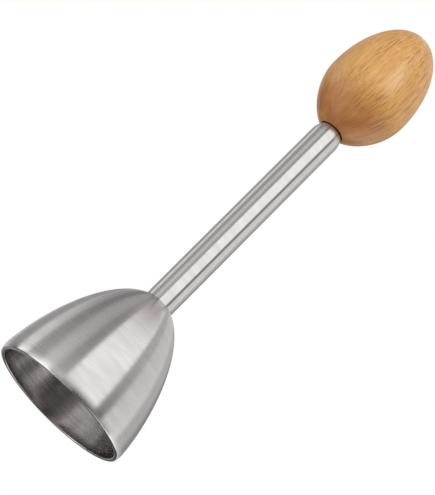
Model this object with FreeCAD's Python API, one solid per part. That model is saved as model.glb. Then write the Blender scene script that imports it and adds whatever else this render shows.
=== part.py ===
import FreeCAD, Part
import math
import os

# A spring-snap egg topper, standing on the rim of its bell.
# All sizes are in millimetres. Z runs from the mouth of the bell up to the knob, and the origin is
# the centre of the mouth, on the plane of the rim.
# Pull the knob: the rod lifts the striker and squeezes the spring. Let go: the striker hits the
# anvil above the bell, and the rim cracks the shell of the egg in a clean circle.

# Bell, spun from sheet: its outside follows a closed formula, and its wall is even
BELL_RADIUS = 18.99  # outside, where it is widest
DOME_BASE = 0.30  # height of the ring that the dome's curve starts from
DOME_HEIGHT = 35.25  # from that ring to where the curve would close on the axis
DOME_FULLNESS = 1.633  # exponent on height: more makes straighter sides
DOME_SHOULDER = 2.012  # exponent on radius: more makes a squarer shoulder
BELL_WALL = 1.0
CURL_START = 2.2  # height below which the rim is spun inwards
CURL_RADIUS = 5.5
RIM_OUTER_ROUND = 0.40
RIM_INNER_ROUND = 0.15
CROWN_LAND = 0.15  # flat ring that shows round the foot of the tube
CROWN_THICKNESS = 1.2

# Handle tube, with its upper end spun in and cut square
TUBE_RADIUS = 4.0
TUBE_WALL = 0.5
TUBE_LENGTH = 64.77
TUBE_END_ROUND = 6.2
TUBE_END_RADIUS = 3.0  # outside, where the spun end is cut
TUBE_FOOT_BREAK = 0.10

# Anvil plug, in the foot of the tube
PLUG_HEIGHT = 7.0
PLUG_EDGE_BREAK = 0.3
SPIGOT_RADIUS = 2.5  # centres the bell on the plug
SPIGOT_LENGTH = 0.9
SPIGOT_CLEARANCE = 0.05

# Screw that holds the bell on, with its two washers. Threads are drawn at their pitch radius.
SCREW_THREAD_RADIUS = 1.34
SCREW_LENGTH = 6.0
SCREW_HEAD_RADIUS = 2.85
SCREW_HEAD_HEIGHT = 1.65
SCREW_SOCKET_FLATS = 2.0
SCREW_SOCKET_DEPTH = 1.0
TAPPED_SPARE = 0.7  # tapped hole past the end of the screw
WASHER_RADIUS = 3.5
WASHER_THICKNESS = 0.5
WASHER_HOLE_CLEARANCE = 0.26
LOCK_WASHER_RADIUS = 3.1
LOCK_WASHER_THICKNESS = 0.7
LOCK_WASHER_SPLIT = 0.6
LOCK_WASHER_SLANT = 30.0  # degrees, of the split

# Guide bush, under the spun end of the tube
BUSH_HEAD_LENGTH = 6.7
BUSH_TOP_GAP = 0.4  # below the cut end of the tube
BUSH_EDGE_BREAK = 0.2

# Striker, its pin and the washer that the spring pushes on
STRIKER_LENGTH = 15.0
STRIKER_CLEARANCE = 0.08
STRIKER_EDGE_BREAK = 0.4
STRIKER_BAND = 3.2  # length of each of its two guiding bands
STRIKER_RELIEF = 0.35  # depth of the waist between them
ROD_SOCKET_DEPTH = 11.0
PIN_RADIUS = 0.6
PIN_HEIGHT = 7.5  # above the striking face
PIN_RECESS = 0.6  # below the bands at each end
THRUST_THICKNESS = 0.5
THRUST_EDGE_CLEARANCE = 0.2
THRUST_HOLE_CLEARANCE = 0.1

# Pull rod
ROD_RADIUS = 1.5
ROD_CLEARANCE = 0.05  # running fit in the bush
ROD_EDGE_BREAK = 0.3
STROKE = 20.0
STROKE_SPARE = 0.1  # left between the washer and the bush at full pull

# Main spring, with one closed coil ground flat at each end
WIRE_RADIUS = 0.3
SPRING_TUBE_GAP = 0.5
SPRING_BUSH_GAP = 0.25
ACTIVE_COILS = 14
CLOSED_COILS = 1  # at each end
CLOSED_PITCH = 1.05
GROUND_DEPTH = 0.2  # wire taken off each end

# Egg-shaped knob and the threaded insert in its foot
KNOB_RADIUS = 12.13
KNOB_BLUNT_LENGTH = 15.51
KNOB_POINTED_LENGTH = 21.31
KNOB_BLUNT_TAPER = -0.129
KNOB_POINTED_TAPER = 0.01
KNOB_GAP = 0.25  # between the tube's end and the seat, at rest
SEAT_OVERHANG = 0.35  # of the seat outside the tube
SEAT_ROUND = 0.2
RECESS_RADIUS = 3.9
RECESS_DEPTH = 1.2
INSERT_SUNK = 0.8  # above the floor of the recess
INSERT_RADIUS = 2.5
INSERT_LENGTH = 9.0
INSERT_GROOVES = 3
INSERT_GROOVE_WIDTH = 0.8
INSERT_GROOVE_DEPTH = 0.3
BORE_SPARE = 1.0  # bore in the wood past the insert
ROD_THREAD_LENGTH = 8.0

# Pairs of arcs that draw each curve
DOME_ARC_PAIRS = 5
KNOB_ARC_PAIRS = 3  # in each half of the knob's outline
COIL_ARC_PAIRS = 2  # in each turn of the spring

AXIS = FreeCAD.Vector(0, 0, 1)
CENTRE = FreeCAD.Vector(0, 0, 0)


def point(radius, height):
    """A point of a turned outline."""
    return FreeCAD.Vector(radius, 0, height)


def line(start, end):
    return Part.LineSegment(start, end).toShape()


def round_edge(centre, radius, first, last):
    """An arc about a centre, between two angles in radians above the horizontal."""
    angles = (first, (first + last) / 2, last)
    ends = [centre + point(radius * math.cos(a), radius * math.sin(a)) for a in angles]
    return Part.Arc(*ends).toShape()


def arc_pair(start, start_way, end, end_way):
    """Two arcs from start to end that meet smoothly and keep both directions."""
    across = end - start
    both = start_way + end_way
    along = across.dot(both)
    factor = 2 * (1 - start_way.dot(end_way))
    reach = (math.sqrt(along ** 2 + factor * across.dot(across)) - along) / factor
    first_corner = start + start_way * reach
    last_corner = end - end_way * reach
    join = (first_corner + last_corner) * 0.5
    arcs = []
    for a, corner, b in ((start, first_corner, join), (join, last_corner, end)):
        weight = (b - a).Length / 2 / (corner - a).Length
        middle = (a + corner * (2 * weight) + b) * (1 / (2 + 2 * weight))
        arcs.append(Part.Arc(a, middle, b).toShape())
    return arcs


def arcs_through(places):
    """Arcs that pass smoothly through places, each given as a point and a direction there."""
    arcs = []
    for (start, start_way), (end, end_way) in zip(places, places[1:]):
        arcs += arc_pair(start, start_way, end, end_way)
    return arcs


def turned(edges):
    """The solid that a closed outline sweeps round the axis."""
    return Part.Face(Part.Wire(edges)).revolve(CENTRE, AXIS, 360)


def turned_outline(*corners):
    """The same, for an outline of straight runs given as (radius, height)."""
    points = [point(*corner) for corner in corners]
    return turned([line(a, b) for a, b in zip(points, points[1:] + points[:1])])


def rounded_edges(solid, radius, places):
    """The solid with the circular edges through the given outline points rounded."""
    found = [edge for edge in solid.Edges
             if any(edge.distToShape(Part.Vertex(place))[0] < 1e-4 for place in places)
             and isinstance(edge.Curve, Part.Circle)
             and abs(edge.Curve.Center.x) + abs(edge.Curve.Center.y) < 1e-6]
    return solid.makeFillet(radius, found)


def where(test, low, high):
    """The value between low and high at which a steadily rising test crosses zero."""
    for _ in range(60):
        middle = (low + high) / 2
        if test(middle) > 0:
            high = middle
        else:
            low = middle
    return (low + high) / 2


# Outside of the bell

def dome_radius(height):
    share = (height - DOME_BASE) / DOME_HEIGHT
    return BELL_RADIUS * (1 - share ** DOME_FULLNESS) ** (1 / DOME_SHOULDER)


def dome_height(radius):
    share = 1 - (radius / BELL_RADIUS) ** DOME_SHOULDER
    return DOME_BASE + DOME_HEIGHT * share ** (1 / DOME_FULLNESS)


def dome_tangent(height):
    """Unit direction up the outside of the dome."""
    share = (height - DOME_BASE) / DOME_HEIGHT
    left = 1 - share ** DOME_FULLNESS
    slope = -BELL_RADIUS / DOME_HEIGHT * DOME_FULLNESS / DOME_SHOULDER
    slope *= share ** (DOME_FULLNESS - 1) * left ** (1 / DOME_SHOULDER - 1)
    return point(slope, 1).normalize()


def dome_point(height, depth=0.0):
    """The point at that height of the outside, or the same point moved in by a wall's depth."""
    up = dome_tangent(height)
    return point(dome_radius(height), height) - point(up.z, -up.x) * depth


# Heights along the axis, from the rim up

CROWN_TOP = dome_height(TUBE_RADIUS + CROWN_LAND)
CROWN_UNDERSIDE = CROWN_TOP - CROWN_THICKNESS
WASHER_BOTTOM = CROWN_UNDERSIDE - WASHER_THICKNESS
LOCK_WASHER_BOTTOM = WASHER_BOTTOM - LOCK_WASHER_THICKNESS
ANVIL_FACE = CROWN_TOP + PLUG_HEIGHT
STRIKER_TOP = ANVIL_FACE + STRIKER_LENGTH
THRUST_TOP = STRIKER_TOP + THRUST_THICKNESS
TUBE_TOP = CROWN_TOP + TUBE_LENGTH
BUSH_TOP = TUBE_TOP - BUSH_TOP_GAP
BUSH_SHOULDER = BUSH_TOP - BUSH_HEAD_LENGTH
BUSH_FOOT = THRUST_TOP + STROKE + STROKE_SPARE
SEAT_HEIGHT = TUBE_TOP + KNOB_GAP
RECESS_FLOOR = SEAT_HEIGHT + RECESS_DEPTH
INSERT_FOOT = RECESS_FLOOR + INSERT_SUNK

# Radii that follow from others

TUBE_BORE = TUBE_RADIUS - TUBE_WALL
STRIKER_RADIUS = TUBE_BORE - STRIKER_CLEARANCE
SPRING_RADIUS = TUBE_BORE - SPRING_TUBE_GAP - WIRE_RADIUS
BUSH_NOSE_RADIUS = SPRING_RADIUS - WIRE_RADIUS - SPRING_BUSH_GAP
BUSH_BORE = ROD_RADIUS + ROD_CLEARANCE


def bell():
    """Spun cup with an even wall, a flat crown for the tube and a rim curled inwards."""
    outer_start = dome_point(CURL_START)
    inner_start = dome_point(CURL_START, BELL_WALL)
    up = dome_tangent(CURL_START)
    curl_centre = dome_point(CURL_START, CURL_RADIUS)
    start_angle = math.atan2(-up.x, up.z)
    inner_radius = CURL_RADIUS - BELL_WALL
    outer_angle = -math.asin(curl_centre.z / CURL_RADIUS)
    inner_angle = -math.asin(curl_centre.z / inner_radius)
    land_outer = point(curl_centre.x + CURL_RADIUS * math.cos(outer_angle), 0)
    land_inner = point(curl_centre.x + inner_radius * math.cos(inner_angle), 0)

    inner_end_height = where(
        lambda height: dome_point(height, BELL_WALL).z - CROWN_UNDERSIDE, CURL_START, CROWN_TOP)
    inner_end = dome_point(inner_end_height, BELL_WALL)
    crown_edge = dome_point(CROWN_TOP)
    hole = SPIGOT_RADIUS + SPIGOT_CLEARANCE
    outside = [round_edge(curl_centre, CURL_RADIUS, outer_angle, start_angle)]
    outside += dome_arcs(CROWN_TOP, 0.0)
    crown = [line(crown_edge, point(hole, CROWN_TOP)),
             line(point(hole, CROWN_TOP), point(hole, CROWN_UNDERSIDE)),
             line(point(hole, CROWN_UNDERSIDE), inner_end)]
    inside = [round_edge(curl_centre, inner_radius, inner_angle, start_angle)]
    inside += dome_arcs(inner_end_height, BELL_WALL)
    solid = turned([line(land_inner, land_outer)] + outside + crown + inside[::-1])
    most = 0.45 * (land_outer.x - land_inner.x)
    solid = rounded_edges(solid, min(RIM_OUTER_ROUND, most), [land_outer])
    return rounded_edges(solid, min(RIM_INNER_ROUND, most), [land_inner])


def dome_arcs(top, depth):
    """The outline of the dome from the curl up to a height, moved in by a depth.
    Its arcs are shorter towards the crown, where it bends most."""
    heights = [CURL_START + (top - CURL_START) * math.sin(math.pi / 2 * i / DOME_ARC_PAIRS)
               for i in range(DOME_ARC_PAIRS + 1)]
    return arcs_through([(dome_point(height, depth), dome_tangent(height)) for height in heights])


def tube_end_centre():
    """Centre of the arcs that the tube's spun end follows."""
    reach = TUBE_END_RADIUS - TUBE_RADIUS + TUBE_END_ROUND
    rise = math.sqrt(TUBE_END_ROUND ** 2 - reach ** 2)
    return point(TUBE_RADIUS - TUBE_END_ROUND, TUBE_TOP - rise)


def handle_tube():
    """Thin tube whose upper end is spun in over the bush and cut square."""
    centre = tube_end_centre()
    inner_round = TUBE_END_ROUND - TUBE_WALL
    outer_angle = math.asin((TUBE_TOP - centre.z) / TUBE_END_ROUND)
    inner_angle = math.asin((TUBE_TOP - centre.z) / inner_round)
    outer_lip = point(TUBE_END_RADIUS, TUBE_TOP)
    inner_lip = point(centre.x + inner_round * math.cos(inner_angle), TUBE_TOP)
    foot_inner = point(TUBE_BORE, CROWN_TOP)
    foot_outer = point(TUBE_RADIUS - TUBE_FOOT_BREAK, CROWN_TOP)
    foot_side = point(TUBE_RADIUS, CROWN_TOP + TUBE_FOOT_BREAK)
    return turned([
        line(foot_inner, foot_outer),
        line(foot_outer, foot_side),
        line(foot_side, point(TUBE_RADIUS, centre.z)),
        round_edge(centre, TUBE_END_ROUND, 0, outer_angle),
        line(outer_lip, inner_lip),
        round_edge(centre, inner_round, inner_angle, 0),
        line(point(TUBE_BORE, centre.z), foot_inner),
    ])


def anvil_plug():
    """Turned plug that closes the foot of the tube, takes the blow and carries the bell."""
    bottom = CROWN_TOP - SPIGOT_LENGTH
    tapped_top = LOCK_WASHER_BOTTOM + SCREW_LENGTH + TAPPED_SPARE
    return turned_outline(
        (0, tapped_top), (SCREW_THREAD_RADIUS, tapped_top), (SCREW_THREAD_RADIUS, bottom),
        (SPIGOT_RADIUS, bottom), (SPIGOT_RADIUS, CROWN_TOP), (TUBE_BORE, CROWN_TOP),
        (TUBE_BORE, ANVIL_FACE - PLUG_EDGE_BREAK), (TUBE_BORE - PLUG_EDGE_BREAK, ANVIL_FACE),
        (0, ANVIL_FACE))


def crown_washer():
    """Flat washer against the inside of the crown."""
    hole = SCREW_THREAD_RADIUS + WASHER_HOLE_CLEARANCE
    return turned_outline(
        (hole, WASHER_BOTTOM), (WASHER_RADIUS, WASHER_BOTTOM),
        (WASHER_RADIUS, CROWN_UNDERSIDE), (hole, CROWN_UNDERSIDE))


def lock_washer():
    """Split washer that keeps the blows from loosening the screw."""
    hole = SCREW_THREAD_RADIUS + WASHER_HOLE_CLEARANCE
    ring = turned_outline(
        (hole, LOCK_WASHER_BOTTOM), (LOCK_WASHER_RADIUS, LOCK_WASHER_BOTTOM),
        (LOCK_WASHER_RADIUS, WASHER_BOTTOM), (hole, WASHER_BOTTOM))
    tall = 4 * LOCK_WASHER_THICKNESS
    split = Part.makeBox(LOCK_WASHER_RADIUS, LOCK_WASHER_SPLIT, tall)
    split.translate(FreeCAD.Vector(0, -LOCK_WASHER_SPLIT / 2, -tall / 2))
    split.rotate(CENTRE, FreeCAD.Vector(1, 0, 0), LOCK_WASHER_SLANT)
    split.translate(AXIS * (LOCK_WASHER_BOTTOM + WASHER_BOTTOM) * 0.5)
    return ring.cut(split)


def crown_screw():
    """Button-head screw, driven from inside the bell, with a hexagon socket."""
    head_top = LOCK_WASHER_BOTTOM
    head_bottom = head_top - SCREW_HEAD_HEIGHT
    crown = (SCREW_HEAD_RADIUS ** 2 + SCREW_HEAD_HEIGHT ** 2) / (2 * SCREW_HEAD_HEIGHT)
    half_way = math.sqrt(crown ** 2 - (crown - SCREW_HEAD_HEIGHT / 2) ** 2)
    dome = Part.Arc(point(0, head_bottom), point(half_way, head_bottom + SCREW_HEAD_HEIGHT / 2),
                    point(SCREW_HEAD_RADIUS, head_top)).toShape()
    end = head_top + SCREW_LENGTH
    corners = [point(SCREW_HEAD_RADIUS, head_top), point(SCREW_THREAD_RADIUS, head_top),
               point(SCREW_THREAD_RADIUS, end - ROD_EDGE_BREAK),
               point(SCREW_THREAD_RADIUS - ROD_EDGE_BREAK, end), point(0, end),
               point(0, head_bottom)]
    solid = turned([dome] + [line(a, b) for a, b in zip(corners, corners[1:])])
    across_corners = SCREW_SOCKET_FLATS / math.sqrt(3)
    hexagon = [FreeCAD.Vector(across_corners * math.cos(math.radians(60 * i)),
                              across_corners * math.sin(math.radians(60 * i)), head_bottom)
               for i in range(7)]
    socket = Part.Face(Part.makePolygon(hexagon)).extrude(AXIS * SCREW_SOCKET_DEPTH)
    return solid.cut(socket)


def guide_bush():
    """Turned bush under the tube's spun end. Its long nose lies inside the spring, guides it,
    and stops the washer at full pull."""
    centre = tube_end_centre()
    inner_round = TUBE_END_ROUND - TUBE_WALL
    top_angle = math.asin((BUSH_TOP - centre.z) / inner_round)
    top_edge = point(centre.x + inner_round * math.cos(top_angle), BUSH_TOP)
    corners = [top_edge, point(BUSH_BORE + BUSH_EDGE_BREAK, BUSH_TOP),
               point(BUSH_BORE, BUSH_TOP - BUSH_EDGE_BREAK), point(BUSH_BORE, BUSH_FOOT),
               point(BUSH_NOSE_RADIUS - BUSH_EDGE_BREAK, BUSH_FOOT),
               point(BUSH_NOSE_RADIUS, BUSH_FOOT + BUSH_EDGE_BREAK),
               point(BUSH_NOSE_RADIUS, BUSH_SHOULDER), point(TUBE_BORE, BUSH_SHOULDER),
               point(TUBE_BORE, centre.z)]
    outline = [line(a, b) for a, b in zip(corners, corners[1:])]
    return turned([round_edge(centre, inner_round, 0, top_angle)] + outline)


def thrust_washer():
    """Thin washer between the spring and the striker, on which the striker can turn."""
    hole = ROD_RADIUS + THRUST_HOLE_CLEARANCE
    edge = TUBE_BORE - THRUST_EDGE_CLEARANCE
    return turned_outline((hole, STRIKER_TOP), (edge, STRIKER_TOP), (edge, THRUST_TOP),
                          (hole, THRUST_TOP))


def striker_pin():
    """Cross pin that locks the striker on the rod."""
    half = STRIKER_RADIUS - PIN_RECESS
    start = FreeCAD.Vector(-half, 0, ANVIL_FACE + PIN_HEIGHT)
    return Part.makeCylinder(PIN_RADIUS, 2 * half, start, FreeCAD.Vector(1, 0, 0))


def pin_hole():
    start = FreeCAD.Vector(-TUBE_RADIUS, 0, ANVIL_FACE + PIN_HEIGHT)
    return Part.makeCylinder(PIN_RADIUS, 2 * TUBE_RADIUS, start, FreeCAD.Vector(1, 0, 0))


def striker():
    """Steel slug that slides in the tube on two bands and hits the anvil."""
    waist = STRIKER_RADIUS - STRIKER_RELIEF
    socket_floor = STRIKER_TOP - ROD_SOCKET_DEPTH
    lower_band = ANVIL_FACE + STRIKER_BAND
    upper_band = STRIKER_TOP - STRIKER_BAND
    slug = turned_outline(
        (0, ANVIL_FACE), (STRIKER_RADIUS - STRIKER_EDGE_BREAK, ANVIL_FACE),
        (STRIKER_RADIUS, ANVIL_FACE + STRIKER_EDGE_BREAK), (STRIKER_RADIUS, lower_band),
        (waist, lower_band + STRIKER_RELIEF), (waist, upper_band - STRIKER_RELIEF),
        (STRIKER_RADIUS, upper_band), (STRIKER_RADIUS, STRIKER_TOP - STRIKER_EDGE_BREAK),
        (STRIKER_RADIUS - STRIKER_EDGE_BREAK, STRIKER_TOP), (ROD_RADIUS, STRIKER_TOP),
        (ROD_RADIUS, socket_floor), (0, socket_floor))
    return slug.cut(pin_hole())


def pull_rod():
    """Rod from the striker to the knob. Its shoulder jams against the knob's insert."""
    foot = STRIKER_TOP - ROD_SOCKET_DEPTH
    end = INSERT_FOOT + ROD_THREAD_LENGTH
    rod = turned_outline(
        (0, foot), (ROD_RADIUS - ROD_EDGE_BREAK, foot), (ROD_RADIUS, foot + ROD_EDGE_BREAK),
        (ROD_RADIUS, INSERT_FOOT), (SCREW_THREAD_RADIUS, INSERT_FOOT),
        (SCREW_THREAD_RADIUS, end - ROD_EDGE_BREAK),
        (SCREW_THREAD_RADIUS - ROD_EDGE_BREAK, end), (0, end))
    return rod.cut(pin_hole())


def spring_rise(turns, whole_turns, open_pitch):
    """Rise for each turn at a place along the wire: closed coils at the ends, open between."""
    from_end = min(turns, whole_turns - turns)
    share = min(max((from_end - CLOSED_COILS + 0.5), 0.0), 1.0)
    return CLOSED_PITCH + (open_pitch - CLOSED_PITCH) * share * share * (3 - 2 * share)


def spring_places():
    """Centre-line points of the spring and its directions there, one at each half turn."""
    whole_turns = ACTIVE_COILS + 2 * CLOSED_COILS
    steps = whole_turns * COIL_ARC_PAIRS
    start = THRUST_TOP + WIRE_RADIUS - GROUND_DEPTH
    rise = BUSH_SHOULDER - THRUST_TOP - 2 * (WIRE_RADIUS - GROUND_DEPTH)
    fine = 20

    def heights(open_pitch):
        height = start
        found = [height]
        for step in range(steps * fine):
            turns = (step + 0.5) / (COIL_ARC_PAIRS * fine)
            height += spring_rise(turns, whole_turns, open_pitch) / (COIL_ARC_PAIRS * fine)
            if (step + 1) % fine == 0:
                found.append(height)
        return found

    open_pitch = where(lambda pitch: heights(pitch)[-1] - start - rise, 0.0, rise)
    places = []
    for step, height in enumerate(heights(open_pitch)):
        turns = step / COIL_ARC_PAIRS
        angle = 2 * math.pi * turns
        across = FreeCAD.Vector(math.cos(angle), math.sin(angle), 0)
        along = FreeCAD.Vector(-math.sin(angle), math.cos(angle), 0)
        climb = spring_rise(turns, whole_turns, open_pitch) / (2 * math.pi * SPRING_RADIUS)
        places.append((across * SPRING_RADIUS + AXIS * height, (along + AXIS * climb).normalize()))
    return places


def main_spring():
    """One unbroken wire, wound from pairs of arcs, with its ends ground flat."""
    places = spring_places()
    path = Part.Wire(arcs_through(places))
    section = Part.Wire(Part.makeCircle(WIRE_RADIUS, places[0][0], places[0][1]))
    wire = path.makePipeShell([section], True, False)
    expected = math.pi * WIRE_RADIUS ** 2 * path.Length
    print("spring wire: %.1f mm long, volume over section times length %.4f"
          % (path.Length, wire.Volume / expected))
    print("spring: least gap between turns %.2f mm" % spring_gap(path))
    reach = TUBE_BORE
    kept = Part.makeCylinder(reach, BUSH_SHOULDER - THRUST_TOP, AXIS * THRUST_TOP, AXIS)
    return wire.common(kept)


def spring_gap(path):
    """Least distance between the wire's surfaces on neighbouring turns, from points along it."""
    whole_turns = ACTIVE_COILS + 2 * CLOSED_COILS
    per_turn = 48
    points = path.discretize(Number=whole_turns * per_turn + 1)
    gaps = [(a - b).Length for i, a in enumerate(points)
            for b in points[i + per_turn // 2:i + per_turn * 3 // 2]]
    return min(gaps) - 2 * WIRE_RADIUS


def knob_insert():
    """Threaded insert in the knob's foot, with grooves that bite in the wood."""
    top = INSERT_FOOT + INSERT_LENGTH
    solid = turned_outline(
        (SCREW_THREAD_RADIUS, INSERT_FOOT), (INSERT_RADIUS, INSERT_FOOT),
        (INSERT_RADIUS, top), (SCREW_THREAD_RADIUS, top))
    step = INSERT_LENGTH / (INSERT_GROOVES + 1)
    for i in range(INSERT_GROOVES):
        low = INSERT_FOOT + (i + 1) * step - INSERT_GROOVE_WIDTH / 2
        solid = solid.cut(turned_outline(
            (INSERT_RADIUS - INSERT_GROOVE_DEPTH, low), (INSERT_RADIUS + 1, low),
            (INSERT_RADIUS + 1, low + INSERT_GROOVE_WIDTH),
            (INSERT_RADIUS - INSERT_GROOVE_DEPTH, low + INSERT_GROOVE_WIDTH)))
    return solid


# Outside of the knob: a half turn of angle runs from its blunt end to its pointed end

def knob_half_shape(angle):
    """Length and taper of the half of the knob that an angle falls in."""
    if angle < math.pi / 2:
        return KNOB_BLUNT_LENGTH, KNOB_BLUNT_TAPER
    return KNOB_POINTED_LENGTH, KNOB_POINTED_TAPER


def knob_point(angle):
    """A point of the outline, with heights counted from where the knob is widest."""
    length, taper = knob_half_shape(angle)
    radius = KNOB_RADIUS * math.sin(angle) * (1 + taper * math.cos(angle) ** 2)
    return point(radius, -length * math.cos(angle))


def knob_way(angle):
    """Unit direction along the outline, towards the pointed end."""
    length, taper = knob_half_shape(angle)
    sine = math.sin(angle)
    cosine = math.cos(angle)
    widening = KNOB_RADIUS * cosine * (1 + taper * cosine ** 2 - 2 * taper * sine ** 2)
    return point(widening, length * sine).normalize()


def egg_knob():
    """Turned wooden egg, cut flat at its blunt end, with a shallow recess and a blind bore."""
    seat_radius = TUBE_RADIUS + SEAT_OVERHANG
    seat_angle = where(lambda a: knob_point(a).x - seat_radius, 0.0, math.pi / 2)
    widest = AXIS * (SEAT_HEIGHT - knob_point(seat_angle).z)
    outline = []
    for first, last in ((seat_angle, math.pi / 2), (math.pi / 2, math.pi)):
        angles = [first + (last - first) * i / KNOB_ARC_PAIRS for i in range(KNOB_ARC_PAIRS + 1)]
        outline += arcs_through([(knob_point(a) + widest, knob_way(a)) for a in angles])
    bore_top = INSERT_FOOT + INSERT_LENGTH + BORE_SPARE
    corners = [knob_point(math.pi) + widest, point(0, bore_top), point(INSERT_RADIUS, bore_top),
               point(INSERT_RADIUS, RECESS_FLOOR), point(RECESS_RADIUS, RECESS_FLOOR),
               point(RECESS_RADIUS, SEAT_HEIGHT), point(seat_radius, SEAT_HEIGHT)]
    solid = turned(outline + [line(a, b) for a, b in zip(corners, corners[1:])])
    most = 0.45 * (seat_radius - RECESS_RADIUS)
    return rounded_edges(solid, min(SEAT_ROUND, most), corners[-2:])


PIECES = (
    bell, crown_washer, lock_washer, crown_screw, anvil_plug, handle_tube, guide_bush,
    main_spring, thrust_washer, striker, striker_pin, pull_rod, knob_insert, egg_knob,
)

os.makedirs("parts", exist_ok=True)
for piece in PIECES:
    shape = piece()
    if not shape.isValid() or len(shape.Solids) != 1:
        raise ValueError(f"{piece.__name__} is not one valid solid")
    shape.Solids[0].exportStep(f"parts/{piece.__name__}.step")
    box = shape.optimalBoundingBox(False, False)
    print(f"{piece.__name__}: {shape.Volume:.1f} mm3, z {box.ZMin:.2f} to {box.ZMax:.2f}, "
          f"radius {box.XMax:.2f}")
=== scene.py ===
"""Looks of a spring-snap egg topper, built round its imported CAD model.

The bell, the tube and the knob are turned again here from the formulas of their outlines, with
enough rings for smooth reflections. The spring is wound again from one wire. The pieces inside keep
their CAD shape and get a finish. Sizes are in millimetres and turn to metres in the meshes.
"""

import logging
import math
from collections.abc import Callable
from dataclasses import dataclass, field
from enum import Enum
from functools import partial

import bmesh
import bpy
from mathutils import Matrix, Vector


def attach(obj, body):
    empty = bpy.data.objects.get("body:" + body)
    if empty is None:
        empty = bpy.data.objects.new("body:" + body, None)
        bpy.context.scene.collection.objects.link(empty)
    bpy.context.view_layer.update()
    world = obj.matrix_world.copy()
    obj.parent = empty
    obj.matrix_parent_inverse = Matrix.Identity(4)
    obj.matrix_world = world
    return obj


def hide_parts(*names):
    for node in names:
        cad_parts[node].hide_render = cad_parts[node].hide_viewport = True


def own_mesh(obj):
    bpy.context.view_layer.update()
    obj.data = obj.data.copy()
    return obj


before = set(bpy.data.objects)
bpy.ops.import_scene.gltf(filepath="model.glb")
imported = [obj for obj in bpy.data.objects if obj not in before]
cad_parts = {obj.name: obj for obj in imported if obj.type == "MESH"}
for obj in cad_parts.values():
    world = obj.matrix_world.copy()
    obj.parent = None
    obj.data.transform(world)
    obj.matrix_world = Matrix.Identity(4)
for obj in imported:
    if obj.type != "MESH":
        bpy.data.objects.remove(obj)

MM = 0.001
ALONG = "along"  # name of the attribute that holds the length along a turned outline, in metres
SHARP = math.radians(38)  # corners past this angle stay sharp
NOISE = (0.3, 0.7)  # where most values of a noise lie
TINY = 1e-5  # mm: points of an outline that lie nearer are one
LEAST = 1e-9  # mm: keeps a division by a length from failing

log = logging.getLogger("egg_topper")

Pair = tuple[float, float]
Adder = Callable[..., bpy.types.Node]


class Body(Enum):
    """The CAD bodies that pieces ride on."""

    HOUSING = "housing"
    PLUNGER = "plunger"


class Rings(Enum):
    """What a round surface's lines follow."""

    OUTLINE = "the length along the outline"
    HEIGHT = "height less radius"


def linear(colour: str) -> tuple[float, float, float, float]:
    """Turn an sRGB colour to linear light.

    Args:
        colour: Hex colour, such as "#C9A227".

    Returns:
        Red, green, blue and an alpha of 1.
    """
    parts = [int(colour[i:i + 2], 16) / 255 for i in (1, 3, 5)]
    light = [p / 12.92 if p <= 0.04045 else ((p + 0.055) / 1.055) ** 2.4 for p in parts]
    return (light[0], light[1], light[2], 1.0)


def grey(level: float) -> tuple[float, float, float, float]:
    """A neutral light of that level."""
    return (level, level, level, 1.0)


def feed(node: bpy.types.Node, inputs: dict[str, object] | list[object]) -> None:
    """Give a node's inputs their values and links.

    Args:
        node: The node.
        inputs: Values, sockets or nodes, by the inputs' names, or listed in order for the inputs
            that are on. A node gives its first output that is on.
    """
    if isinstance(inputs, list):
        inputs = dict(zip((i for i, socket in enumerate(node.inputs) if socket.enabled), inputs))
    for key, value in inputs.items():
        if isinstance(value, bpy.types.Node):
            value = next(output for output in value.outputs if output.enabled)
        if isinstance(value, bpy.types.NodeSocket):
            node.id_data.links.new(value, node.inputs[key])
        else:
            node.inputs[key].default_value = value


def add_node(
    tree: bpy.types.NodeTree,
    kind: str,
    inputs: dict[str, object] | list[object] | None = None,
    **settings: object,
) -> bpy.types.Node:
    """Add a node with its settings, values and links.

    Args:
        tree: Node tree that gets the node.
        kind: Blender's name for the type of node, with its operation after a colon. A name
            without Node in it is short for a shader node's.
        inputs: What its inputs get, in either form that feed takes.
        settings: The node's own properties.

    Returns:
        The new node.
    """
    kind, _, operation = kind.partition(":")
    node = tree.nodes.new(kind if "Node" in kind else "ShaderNode" + kind)
    if operation:
        settings["operation"] = operation
    for name, value in settings.items():
        setattr(node, name, value)
    feed(node, inputs or {})
    return node


def blank(name: str) -> tuple[bpy.types.Material, Adder, bpy.types.Node]:
    """Start a material.

    Args:
        name: Its name.

    Returns:
        The material, what adds nodes to it, and its surface shader.
    """
    made = bpy.data.materials.new(name)
    made.use_nodes = True
    tree = made.node_tree
    return made, partial(add_node, tree), tree.nodes["Principled BSDF"]


def start_tree(
    name: str, sockets: dict[str, str]
) -> tuple[bpy.types.NodeTree, Adder, dict[str, bpy.types.NodeSocket]]:
    """Start a tree of geometry nodes with one output.

    Args:
        name: The tree's name.
        sockets: Kinds of socket by the names of the tree's inputs.

    Returns:
        The tree, what adds nodes to it, and its inputs by their names.
    """
    tree = bpy.data.node_groups.new(name, "GeometryNodeTree")
    for label, kind in sockets.items():
        tree.interface.new_socket(label, in_out="INPUT", socket_type="NodeSocket" + kind)
    tree.interface.new_socket("Shape", in_out="OUTPUT", socket_type="NodeSocketGeometry")
    add = partial(add_node, tree)
    return (tree, add, {socket.name: socket for socket in add("NodeGroupInput").outputs})


def end_tree(add: Adder, shape: bpy.types.Node, finish: bpy.types.NodeSocket) -> None:
    """End a tree of geometry nodes with real faces that carry their finish.

    Args:
        add: What adds nodes to the tree.
        shape: The node that gives the faces.
        finish: The tree's input for their material.
    """
    real = add("GeometryNodeRealizeInstances", {"Geometry": shape})
    dressed = add("GeometryNodeSetMaterial", {"Geometry": real, "Material": finish})
    add("NodeGroupOutput", {"Shape": dressed})


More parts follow.
